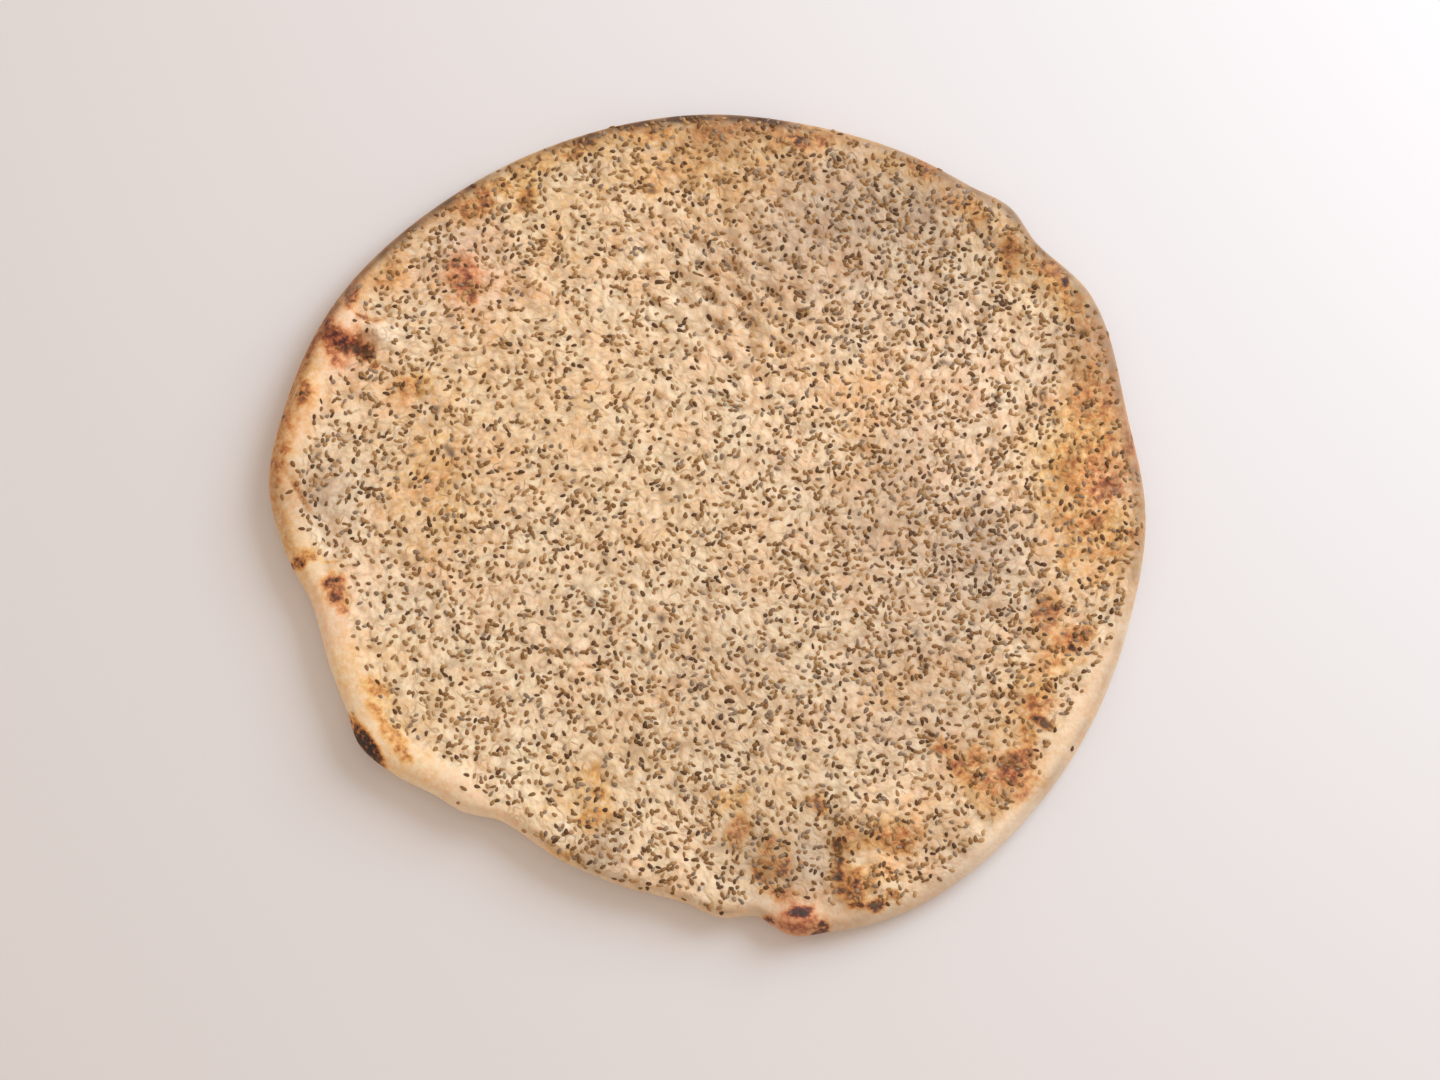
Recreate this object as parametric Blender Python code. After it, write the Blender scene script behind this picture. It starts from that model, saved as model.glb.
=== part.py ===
"""Tamees, a hand-shaped round flatbread strewn with small dark seeds, lying flat on its underside.

Metres, +Z up. The origin is on the surface that the bread lies on, under the middle of the bread.
+X is the bread's widest direction, and +Y points away from the eater.
The bread is one solid: a thin round of dough with a puffed bare rim, blisters and rows of finger
marks, and the largest of its seeds baked into the top.
"""

import math
import random

import bmesh
import bpy
from mathutils import Matrix, Vector, noise

# Driving sizes.
CRUMB_THICKNESS = 0.0086
MIDDLE_DOME = 0.0012
EDGE_LINE_HEIGHT = 0.0036
UNDER_ROUNDING = 0.0042
LIFT_REACH = 0.0220

# The edge as the hand left it: (bearing in degrees from +X, distance from the middle).
OUTLINE = (
    (0, 0.1500), (14, 0.1487), (30, 0.1537), (40, 0.1493), (46, 0.1515), (52, 0.1482),
    (60, 0.1464), (75, 0.1434), (90, 0.1428), (110, 0.1421), (130, 0.1442), (150, 0.1490),
    (165, 0.1501), (176, 0.1504), (186, 0.1437), (193, 0.1379), (203, 0.1383), (209, 0.1393),
    (214, 0.1415), (220, 0.1380), (226, 0.1329), (231, 0.1306), (237, 0.1253), (247, 0.1274),
    (257, 0.1295), (266, 0.1317), (272, 0.1370), (277, 0.1375), (281, 0.1453), (286, 0.1474),
    (292, 0.1496), (300, 0.1508), (320, 0.1491), (345, 0.1483),
)
# How wide the edge is rounded over, by bearing.
EDGE_ROUNDING = (
    (0, 0.0036), (45, 0.0040), (90, 0.0034), (130, 0.0040), (160, 0.0050), (180, 0.0050),
    (200, 0.0036), (225, 0.0036), (250, 0.0036), (270, 0.0036), (290, 0.0044), (320, 0.0044),
    (345, 0.0038),
)
# How far the edge curls up off the surface below it.
EDGE_LIFT = (
    (0, 0.0012), (45, 0.0018), (90, 0.0008), (130, 0.0014), (165, 0.0028), (200, 0.0032),
    (236, 0.0038), (262, 0.0030), (283, 0.0014), (320, 0.0018),
)
# How much higher the puffed rim stands than the crumb beside it.
RIM_RISE = (
    (0, 0.0004), (45, 0.0008), (90, 0.0002), (130, 0.0007), (160, 0.0022), (200, 0.0022),
    (225, 0.0028), (250, 0.0010), (285, 0.0008), (310, 0.0010), (335, 0.0009),
)
# The width of the rim that holds no seeds.
BARE_RIM = (
    (0, 0.0022), (30, 0.0030), (60, 0.0028), (90, 0.0014), (120, 0.0022), (140, 0.0034),
    (150, 0.0085), (160, 0.0120), (170, 0.0110), (185, 0.0100), (205, 0.0110), (220, 0.0128),
    (230, 0.0100), (236, 0.0036), (242, 0.0018), (252, 0.0010), (273, 0.0014), (281, 0.0110),
    (286, 0.0105), (291, 0.0052), (305, 0.0060), (320, 0.0086), (332, 0.0084), (345, 0.0044),
)
RIM_INSET = 0.0075
RIM_HALF_WIDTH = 0.0065
GROOVE_INSET = 0.0150
GROOVE_HALF_WIDTH = 0.0030
GROOVE_SHARE = 0.30

# Blisters: (x, y, radius along, radius across, height, bearing of the long way in degrees).
BLISTERS = (
    (-0.1256, 0.0648, 0.0092, 0.0074, 0.0042, 60),
    (-0.1127, 0.0623, 0.0080, 0.0060, 0.0030, -35),
    (-0.0843, 0.0838, 0.0120, 0.0080, 0.0012, 80),
    (-0.1374, 0.0410, 0.0090, 0.0065, 0.0015, 75),
    (-0.1214, -0.0256, 0.0100, 0.0080, 0.0012, 100),
    (0.0225, -0.1150, 0.0110, 0.0085, 0.0030, 40),
    (0.0590, -0.1040, 0.0200, 0.0140, 0.0030, 10),
    (0.0520, -0.1250, 0.0150, 0.0125, 0.0038, 20),
    (0.0300, -0.1370, 0.0110, 0.0075, 0.0026, 0),
    (0.0322, 0.1265, 0.0120, 0.0080, 0.0012, -10),
    (0.1054, 0.0982, 0.0150, 0.0080, 0.0015, -50),
    (0.1296, 0.0106, 0.0200, 0.0130, 0.0013, 80),
    (0.1124, -0.0675, 0.0220, 0.0120, 0.0016, 65),
    (0.1012, -0.0888, 0.0150, 0.0110, 0.0018, 30),
)
DOME_FALL = 1.4
# Dents and short folds where the dough stayed down, as blisters but with their depth.
HOLLOWS = (
    (-0.1196, 0.0585, 0.0042, 0.0024, 0.0024, 60),
    (-0.1170, 0.0690, 0.0060, 0.0014, 0.0012, 0),
    (-0.1395, 0.0070, 0.0065, 0.0013, 0.0014, -60),
    (0.0393, -0.1146, 0.0070, 0.0060, 0.0020, 80),
    (0.0590, -0.1155, 0.0130, 0.0022, 0.0010, 5),
    (-0.0584, -0.0973, 0.0200, 0.0200, 0.0006, 0),
    (0.0627, 0.1099, 0.0260, 0.0260, 0.0008, 0),
    (0.0696, -0.0142, 0.0300, 0.0300, 0.0007, 0),
)
# Rows of finger marks: (x, y, reach along, reach across, bearing of the furrows, spacing, depth).
FINGER_ROWS = (
    (0.0090, 0.0740, 0.0380, 0.0300, -36, 0.0066, 0.0024),
    (-0.0550, -0.0438, 0.0340, 0.0160, -16, 0.0070, 0.0008),
    (0.0800, 0.0700, 0.0300, 0.0260, -38, 0.0068, 0.0009),
)
FURROW_LENGTH = 0.0150
# Broad unevenness of the whole round: (size of a swell, height).
SWELLS = ((0.060, 0.0010), (0.026, 0.0006))
SWELL_DRAW = 3.7

# The largest seeds, baked into the crust.
SEED_COUNT = 252
SEED_LENGTH = 0.0030
SEED_SIDE_SHARE = 0.56
SEED_HEIGHT_SHARE = 0.46
SEED_SUNK_SHARE = 0.06
SEED_SIZE_SPREAD = 0.12
SEED_JITTER = 0.0022
SEED_DRAW = 11
SEED_SIDES = 6
SEED_TIERS = 4

# Facets.
BEARINGS = 176
INNER_RINGS = 44
EDGE_RINGS = 9
UNDER_RINGS = 22
RIM_ZONE_SHARE = 0.93
BODY_TRIANGLES = 3800

CRUST_COLOUR = (0.62, 0.41, 0.22, 1.0)
CRUST_ROUGHNESS = 0.72
CREASE_DEGREES = 28


def around(bearing, table):
    """The value at this bearing, in degrees, on a smooth closed curve through the table's points."""
    bearing %= 360
    count = len(table)
    after = next((i for i, (at, _) in enumerate(table) if at > bearing), count)
    steps = range(after - 2, after + 2)
    at = [table[i % count][0] + 360 * (i // count) for i in steps]
    value = [table[i % count][1] for i in steps]
    span = at[2] - at[1]
    slope_in = (value[2] - value[0]) / (at[2] - at[0]) * span
    slope_out = (value[3] - value[1]) / (at[3] - at[1]) * span
    u = (bearing - at[1]) / span
    return (
        (2 * u**3 - 3 * u**2 + 1) * value[1]
        + (u**3 - 2 * u**2 + u) * slope_in
        + (3 * u**2 - 2 * u**3) * value[2]
        + (u**3 - u**2) * slope_out
    )


def bell(distance):
    """1 in the middle, falling smoothly to about 0 two widths out."""
    return math.exp(-(distance**2))


def dome(distance):
    """1 in the middle, falling like a soap bubble to 0 one radius out."""
    return max(1 - distance**2, 0.0) ** DOME_FALL


def quarter_round(inset, width):
    """The rise of a rounded edge from 0 at the rim to 1 at this width inside it."""
    share = min(max(inset / width, 0.0), 1.0)
    return math.sqrt(share * (2 - share))


def turned(x, y, degrees):
    """The point in axes turned by these degrees: how far along, how far across."""
    c, s = math.cos(math.radians(degrees)), math.sin(math.radians(degrees))
    return x * c + y * s, y * c - x * s


def swells(x, y):
    """Broad lumps of the dough."""
    return sum(
        height * noise.noise(Vector((x / size, y / size, SWELL_DRAW * step)))
        for step, (size, height) in enumerate(SWELLS)
    )


def blisters(x, y):
    """Domes where steam lifted the crust."""
    total = 0.0
    for at_x, at_y, along, across, height, bearing in BLISTERS:
        u, v = turned(x - at_x, y - at_y, bearing)
        total += height * dome(math.hypot(u / along, v / across))
    return total


def hollows(x, y):
    """Dents and folds where the crust stayed down."""
    total = 0.0
    for at_x, at_y, along, across, depth, bearing in HOLLOWS:
        u, v = turned(x - at_x, y - at_y, bearing)
        total += depth * bell(math.hypot(u / along, v / across))
    return total


def finger_marks(x, y):
    """Short slanted furrows that the fingertips pressed in rows before baking."""
    total = 0.0
    for at_x, at_y, along, across, bearing, spacing, depth in FINGER_ROWS:
        u, v = turned(x - at_x, y - at_y, bearing)
        window = bell(math.hypot(u / along, v / across))
        row = math.floor(v / spacing)
        furrow = 0.5 - 0.5 * math.cos(2 * math.pi * v / spacing)
        finger = 0.5 + 0.5 * math.cos(2 * math.pi * (u / FURROW_LENGTH + 0.5 * (row % 2)))
        total += depth * window * furrow * finger
    return total


def edge_height(bearing):
    """The height of the edge's outermost line."""
    return around(bearing, EDGE_LIFT) + EDGE_LINE_HEIGHT


def top_height(x, y):
    """The crust's height over the point, from the middle out to the edge's outermost line."""
    bearing = math.degrees(math.atan2(y, x))
    reach = around(bearing, OUTLINE)
    share = min(math.hypot(x, y) / reach, 1.0)
    inset = reach * (1 - share)
    rim = around(bearing, RIM_RISE)
    crust = CRUMB_THICKNESS + MIDDLE_DOME * (1 - share**2) + swells(x, y)
    crust += around(bearing, EDGE_LIFT) * bell(inset / LIFT_REACH)
    crust += rim * bell((inset - RIM_INSET) / RIM_HALF_WIDTH)
    crust -= GROOVE_SHARE * rim * bell((inset - GROOVE_INSET) / GROOVE_HALF_WIDTH)
    crust += blisters(x, y) - hollows(x, y) - finger_marks(x, y)
    edge = edge_height(bearing)
    return edge + (crust - edge) * quarter_round(inset, around(bearing, EDGE_ROUNDING))


def underside_height(x, y):
    """The underside: flat on the surface in the middle, curling up towards the edge."""
    bearing = math.degrees(math.atan2(y, x))
    reach = around(bearing, OUTLINE)
    inset = max(reach - math.hypot(x, y), 0.0)
    curl = max(1 - inset / LIFT_REACH, 0.0) ** 2
    under = around(bearing, EDGE_LIFT) * curl
    edge = edge_height(bearing)
    return edge - (edge - under) * quarter_round(inset, UNDER_ROUNDING)


def ring_share(ring):
    """(share of the reach, whether on top) for each ring of the sphere, from its top pole down."""
    top_rings = INNER_RINGS + EDGE_RINGS
    if ring <= INNER_RINGS:
        return RIM_ZONE_SHARE * ring / INNER_RINGS, True
    if ring <= top_rings:
        turn = (ring - INNER_RINGS) / EDGE_RINGS
        return RIM_ZONE_SHARE + (1 - RIM_ZONE_SHARE) * math.sin(turn * math.pi / 2), True
    turn = (ring - top_rings) / UNDER_RINGS
    return math.cos(turn * math.pi / 2), False


def make_dough():
    """The bread without its seeds: a sphere whose rings are laid out over the top and the underside."""
    rings = INNER_RINGS + EDGE_RINGS + UNDER_RINGS
    bpy.ops.mesh.primitive_uv_sphere_add(segments=BEARINGS, ring_count=rings, radius=1)
    dough = bpy.context.object
    for vertex in dough.data.vertices:
        direction = vertex.co.normalized()
        ring = round(math.acos(max(-1.0, min(1.0, direction.z))) / math.pi * rings)
        bearing = math.atan2(direction.y, direction.x)
        share, on_top = ring_share(ring)
        reach = share * around(math.degrees(bearing), OUTLINE)
        x, y = reach * math.cos(bearing), reach * math.sin(bearing)
        z = top_height(x, y) if on_top else underside_height(x, y)
        vertex.co = (x, y, z)
    fewer = dough.modifiers.new("fewer_facets", "DECIMATE")
    fewer.ratio = BODY_TRIANGLES / sum(len(face.vertices) - 2 for face in dough.data.polygons)
    return dough


def surface_tilt(x, y):
    """The rotation that stands a seed on the crust at this point."""
    step = 0.001
    slope_x = (top_height(x + step, y) - top_height(x - step, y)) / (2 * step)
    slope_y = (top_height(x, y + step) - top_height(x, y - step)) / (2 * step)
    return Vector((-slope_x, -slope_y, 1)).to_track_quat("Z", "Y").to_matrix().to_4x4()


def make_seeds(collection):
    """The largest seeds, spread like a sunflower's over all but the bare rim, each turned its own way."""
    draw = random.Random(SEED_DRAW)
    mesh = bpy.data.meshes.new("seed")
    shape = bmesh.new()
    bmesh.ops.create_uvsphere(shape, u_segments=SEED_SIDES, v_segments=SEED_TIERS, radius=0.5)
    shape.to_mesh(mesh)
    shape.free()
    golden_turn = math.pi * (3 - math.sqrt(5))
    for index in range(SEED_COUNT):
        bearing = math.degrees(index * golden_turn)
        field = around(bearing, OUTLINE) - around(bearing, BARE_RIM) - SEED_LENGTH
        distance = field * math.sqrt((index + 0.5) / SEED_COUNT)
        x = distance * math.cos(math.radians(bearing)) + draw.uniform(-1, 1) * SEED_JITTER
        y = distance * math.sin(math.radians(bearing)) + draw.uniform(-1, 1) * SEED_JITTER
        length = SEED_LENGTH * (1 + draw.uniform(-1, 1) * SEED_SIZE_SPREAD)
        height = length * SEED_HEIGHT_SHARE
        size = Matrix.Diagonal((length, length * SEED_SIDE_SHARE, height, 1))
        yaw = Matrix.Rotation(draw.uniform(0, 2 * math.pi), 4, "Z")
        place = Matrix.Translation((x, y, top_height(x, y) - height * SEED_SUNK_SHARE))
        seed = bpy.data.objects.new(f"seed_{index}", mesh)
        seed.matrix_world = place @ surface_tilt(x, y) @ yaw @ size
        collection.objects.link(seed)


def bake_in(dough, seeds):
    """Joins the seeds to the dough as one solid and removes the loose ones."""
    bpy.context.view_layer.objects.active = dough
    bpy.ops.object.modifier_apply(modifier="fewer_facets")
    join = dough.modifiers.new("seeds", "BOOLEAN")
    join.operation = "UNION"
    join.operand_type = "COLLECTION"
    join.collection = seeds
    join.solver = "EXACT"
    bpy.ops.object.modifier_apply(modifier="seeds")
    for seed in list(seeds.objects):
        bpy.data.objects.remove(seed)
    bpy.data.collections.remove(seeds)


def crust_material():
    """Baked crust: pale gold, matt."""
    material = bpy.data.materials.new("crust")
    material.use_nodes = True
    shader = material.node_tree.nodes["Principled BSDF"]
    shader.inputs["Base Color"].default_value = CRUST_COLOUR
    shader.inputs["Roughness"].default_value = CRUST_ROUGHNESS
    shader.inputs["Metallic"].default_value = 0.0
    return material


def main():
    for old in list(bpy.data.objects):
        bpy.data.objects.remove(old)
    tamees = bpy.data.collections.new("tamees")
    seeds = bpy.data.collections.new("loose_seeds")
    bpy.context.scene.collection.children.link(tamees)
    bpy.context.scene.collection.children.link(seeds)
    bread = make_dough()
    bread.name = "bread"
    for home in list(bread.users_collection):
        home.objects.unlink(bread)
    tamees.objects.link(bread)
    make_seeds(seeds)
    bake_in(bread, seeds)
    bread.data.materials.clear()
    bread.data.materials.append(crust_material())
    bread.data.shade_smooth()
    bread.data.set_sharp_from_angle(angle=math.radians(CREASE_DEGREES))


main()
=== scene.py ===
"""The looks of a tamees: a seeded round flatbread, baked gold with browned blisters.

The fine crust replaces the solid and keeps its form. Thousands of small seeds lie in it, joined
into one piece for each kind of seed. Metres, +Z up, +X to the right and +Y away from the eater.
"""

import math
import random

import bpy
import numpy as np
from mathutils import Matrix, Vector, noise
from mathutils.bvhtree import BVHTree

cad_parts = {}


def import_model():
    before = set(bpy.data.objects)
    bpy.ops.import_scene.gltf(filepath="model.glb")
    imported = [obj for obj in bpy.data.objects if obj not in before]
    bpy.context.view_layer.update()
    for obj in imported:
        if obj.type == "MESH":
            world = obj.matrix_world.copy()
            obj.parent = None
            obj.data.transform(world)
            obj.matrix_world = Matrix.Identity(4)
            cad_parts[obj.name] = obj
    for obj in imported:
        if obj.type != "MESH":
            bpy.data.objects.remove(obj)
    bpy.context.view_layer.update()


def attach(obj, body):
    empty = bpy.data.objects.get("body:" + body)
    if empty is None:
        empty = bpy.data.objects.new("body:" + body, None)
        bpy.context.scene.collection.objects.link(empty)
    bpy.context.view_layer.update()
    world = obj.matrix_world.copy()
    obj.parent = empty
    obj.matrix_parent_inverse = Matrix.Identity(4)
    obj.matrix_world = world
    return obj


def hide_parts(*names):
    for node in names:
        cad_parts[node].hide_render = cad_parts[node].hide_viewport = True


# -------- form, as in the solid

# The crumb, how much higher its middle is, and the height of the edge's outermost line.
CRUMB_THICKNESS = 0.0086
MIDDLE_DOME = 0.0012
EDGE_LINE_HEIGHT = 0.0036
# How far in the underside is rounded, and how far in the edge's lift is felt.
UNDER_ROUNDING = 0.0042
LIFT_REACH = 0.0220

# (bearing in degrees from +X, distance of the edge from the middle).
OUTLINE = (
    (0, 0.1500), (14, 0.1487), (30, 0.1537), (40, 0.1493), (46, 0.1515), (52, 0.1482),
    (60, 0.1464), (75, 0.1434), (90, 0.1428), (110, 0.1421), (130, 0.1442), (150, 0.1490),
    (165, 0.1501), (176, 0.1504), (186, 0.1437), (193, 0.1379), (203, 0.1383), (209, 0.1393),
    (214, 0.1415), (220, 0.1380), (226, 0.1329), (231, 0.1306), (237, 0.1253), (247, 0.1274),
    (257, 0.1295), (266, 0.1317), (272, 0.1370), (277, 0.1375), (281, 0.1453), (286, 0.1474),
    (292, 0.1496), (300, 0.1508), (320, 0.1491), (345, 0.1483),
)
# How wide the edge is rounded over, how far it curls up, how much the puffed rim stands up:
# (bearing, metres).
EDGE_ROUNDING = (
    (0, 0.0036), (45, 0.0040), (90, 0.0034), (130, 0.0040), (160, 0.0050), (180, 0.0050),
    (200, 0.0036), (225, 0.0036), (250, 0.0036), (270, 0.0036), (290, 0.0044), (320, 0.0044),
    (345, 0.0038),
)
EDGE_LIFT = (
    (0, 0.0012), (45, 0.0018), (90, 0.0008), (130, 0.0014), (165, 0.0028), (200, 0.0032),
    (236, 0.0038), (262, 0.0030), (283, 0.0014), (320, 0.0018),
)
RIM_RISE = (
    (0, 0.0004), (45, 0.0008), (90, 0.0002), (130, 0.0007), (160, 0.0022), (200, 0.0022),
    (225, 0.0028), (250, 0.0010), (285, 0.0008), (310, 0.0010), (335, 0.0009),
)
# Where the rim's crest and the groove inside it run, how wide, and the groove's share of the rise.
RIM_INSET = 0.0075
RIM_HALF_WIDTH = 0.0065
GROOVE_INSET = 0.0150
GROOVE_HALF_WIDTH = 0.0030
GROOVE_SHARE = 0.30

# (x, y, radius along, radius across, height, bearing of the long way in degrees).
BLISTERS = (
    (-0.1256, 0.0648, 0.0092, 0.0074, 0.0042, 60),
    (-0.1127, 0.0623, 0.0080, 0.0060, 0.0030, -35),
    (-0.0843, 0.0838, 0.0120, 0.0080, 0.0012, 80),
    (-0.1374, 0.0410, 0.0090, 0.0065, 0.0015, 75),
    (-0.1214, -0.0256, 0.0100, 0.0080, 0.0012, 100),
    (0.0225, -0.1150, 0.0110, 0.0085, 0.0030, 40),
    (0.0590, -0.1040, 0.0200, 0.0140, 0.0030, 10),
    (0.0520, -0.1250, 0.0150, 0.0125, 0.0038, 20),
    (0.0300, -0.1370, 0.0110, 0.0075, 0.0026, 0),
    (0.0322, 0.1265, 0.0120, 0.0080, 0.0012, -10),
    (0.1054, 0.0982, 0.0150, 0.0080, 0.0015, -50),
    (0.1296, 0.0106, 0.0200, 0.0130, 0.0013, 80),
    (0.1124, -0.0675, 0.0220, 0.0120, 0.0016, 65),
    (0.1012, -0.0888, 0.0150, 0.0110, 0.0018, 30),
)
# How roundly blisters fall away.
DOME_FALL = 1.4
# (x, y, radius along, radius across, depth, bearing of the long way in degrees).
HOLLOWS = (
    (-0.1196, 0.0585, 0.0042, 0.0024, 0.0024, 60),
    (-0.1170, 0.0690, 0.0060, 0.0014, 0.0012, 0),
    (-0.1395, 0.0070, 0.0065, 0.0013, 0.0014, -60),
    (0.0393, -0.1146, 0.0070, 0.0060, 0.0020, 80),
    (0.0590, -0.1155, 0.0130, 0.0022, 0.0010, 5),
    (-0.0584, -0.0973, 0.0200, 0.0200, 0.0006, 0),
    (0.0627, 0.1099, 0.0260, 0.0260, 0.0008, 0),
    (0.0696, -0.0142, 0.0300, 0.0300, 0.0007, 0),
)
# (x, y, reach along, reach across, bearing of the furrows, spacing, depth).
FINGER_ROWS = (
    (0.0090, 0.0740, 0.0380, 0.0300, -36, 0.0066, 0.0024),
    (-0.0550, -0.0438, 0.0340, 0.0160, -16, 0.0070, 0.0008),
    (0.0800, 0.0700, 0.0300, 0.0260, -38, 0.0068, 0.0009),
)
FURROW_LENGTH = 0.0150
# Slow swells of the crumb: (size, height).
SWELLS = ((0.060, 0.0010), (0.026, 0.0006))
SWELL_DRAW = 3.7

# -------- finer relief of the crust

# (size of a lump, height).
LUMPS = ((0.0085, 0.00085), (0.0036, 0.00034), (0.0016, 0.00012))
# The bare rim is smoother: the share of the fine relief left on it.
RIM_SMOOTHNESS = 0.25
LUMP_DRAW = 11.3
# Winding creases in which seeds gather: (size, how deep against the deepest, draw).
CREASES = ((0.0052, 1.0, 71.0), (0.0031, 0.7, 83.0))
CREASE_DEPTH = 0.00030
CREASE_SHARPNESS = 4.6
# Marks on the crust aren't round: their outlines wander this far, over this size.
WANDER = 0.0026
WANDER_SIZE = 0.0070
WANDER_DRAWS = (31.0, 47.0)
# Small bubbles: how many, how far out against the edge, how they crowd there, radius, height.
BUBBLES = 170
BUBBLE_REACH = (0.15, 0.94)
BUBBLE_CROWDING = 0.6
BUBBLE_RADIUS = (0.0016, 0.0034)
BUBBLE_HEIGHT = (0.00022, 0.00060)
BUBBLE_DRAW = 23

# -------- mesh of the crust

# Rings of points: how far they reach, their steps on the top and below, the edge's zone.
RING_REACH = 0.150
RING_STEP = 0.00102
UNDER_STEP = 0.0050
EDGE_ZONE = 0.0085
EDGE_RINGS = 14
# Points in a ring that reaches to this share of the bread.
RING_POINTS = ((0.060, 48), (0.120, 96), (0.245, 192), (0.490, 384), (9.0, 768))
UNDER_POINTS = ((0.240, 48), (0.480, 96), (0.890, 192), (0.975, 384), (9.0, 768))

# -------- bake marks

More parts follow.
